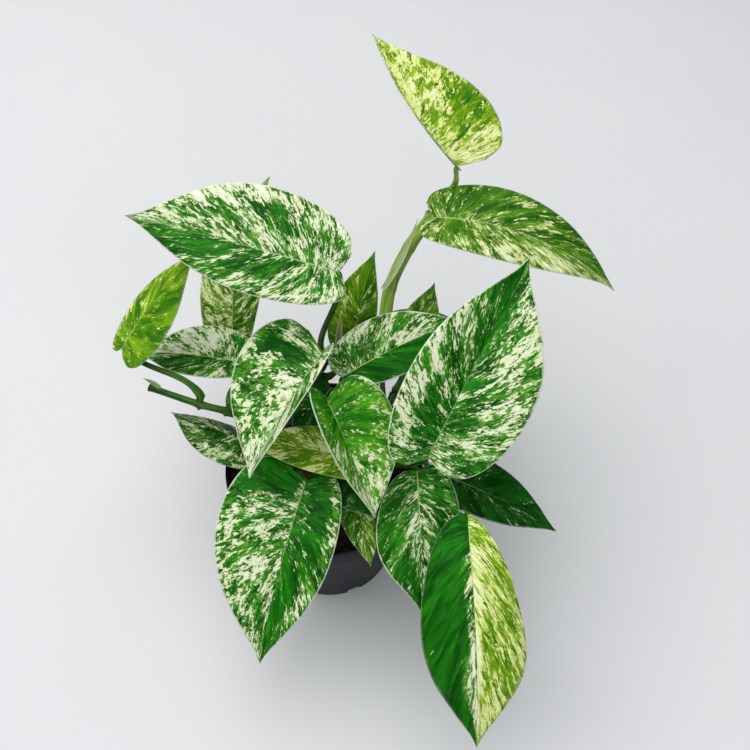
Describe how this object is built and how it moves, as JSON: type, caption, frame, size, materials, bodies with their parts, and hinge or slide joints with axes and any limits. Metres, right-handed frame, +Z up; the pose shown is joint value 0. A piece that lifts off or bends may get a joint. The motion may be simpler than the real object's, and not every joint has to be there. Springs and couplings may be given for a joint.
{
  "type": "potted plant",
  "caption": "Potted trailing pothos with heart-shaped marbled green and cream leaves on stalks, rooted in soil in a round tapered nursery pot with a rim band.",
  "frame": {"origin": "centre of the pot's underside, on the surface it stands on", "axes": "+Z up along the pot's axis, -Y towards the side that the hanging leaves face, +X to that viewer's right"},
  "size_m": [0.2548, 0.3104, 0.2144],
  "materials": {
    "pot": "dark moulded plastic, slight sheen",
    "soil": "loose dark potting soil, rough",
    "vine": "smooth green stem, satin",
    "petiole": "smooth green leaf stalk, satin",
    "leaf": "leaf blade, green marbled with cream, satin",
    "leaf_young": "young leaf blade, yellow-green marbled with cream, satin"
  },
  "bodies": {
    "root": {"pot": "pot", "soil": "soil", "vine_tall": "vine", "vine_left": "vine", "vine_crown": "vine", "vine_centre": "vine", "vine_right": "vine", "vine_front": "vine", "vine_back": "vine", "leaf_top_left": "leaf", "petiole_top_left": "petiole", "leaf_top": "leaf_young", "petiole_top": "petiole", "leaf_top_right": "leaf", "petiole_top_right": "petiole", "leaf_right": "leaf", "petiole_right": "petiole", "leaf_hanging": "leaf", "petiole_hanging": "petiole", "leaf_front_right": "leaf", "petiole_front_right": "petiole", "leaf_low_right": "leaf", "petiole_low_right": "petiole", "leaf_centre": "leaf", "petiole_centre": "petiole", "leaf_crown": "leaf", "petiole_crown": "petiole", "leaf_crown_right": "leaf", "petiole_crown_right": "petiole", "leaf_front_left": "leaf", "petiole_front_left": "petiole", "leaf_middle": "leaf_young", "petiole_middle": "petiole", "leaf_left": "leaf", "petiole_left": "petiole", "leaf_far_left": "leaf_young", "petiole_far_left": "petiole", "leaf_behind": "leaf", "petiole_behind": "petiole", "leaf_upright": "leaf_young", "petiole_upright": "petiole", "leaf_back_tip": "leaf", "petiole_back_tip": "petiole", "leaf_back_low": "leaf", "petiole_back_low": "petiole", "leaf_low_left": "leaf", "petiole_low_left": "petiole", "leaf_low_centre": "leaf", "petiole_low_centre": "petiole", "leaf_low_front": "leaf", "petiole_low_front": "petiole", "leaf_inner": "leaf", "petiole_inner": "petiole"}
  },
  "joints": []
}
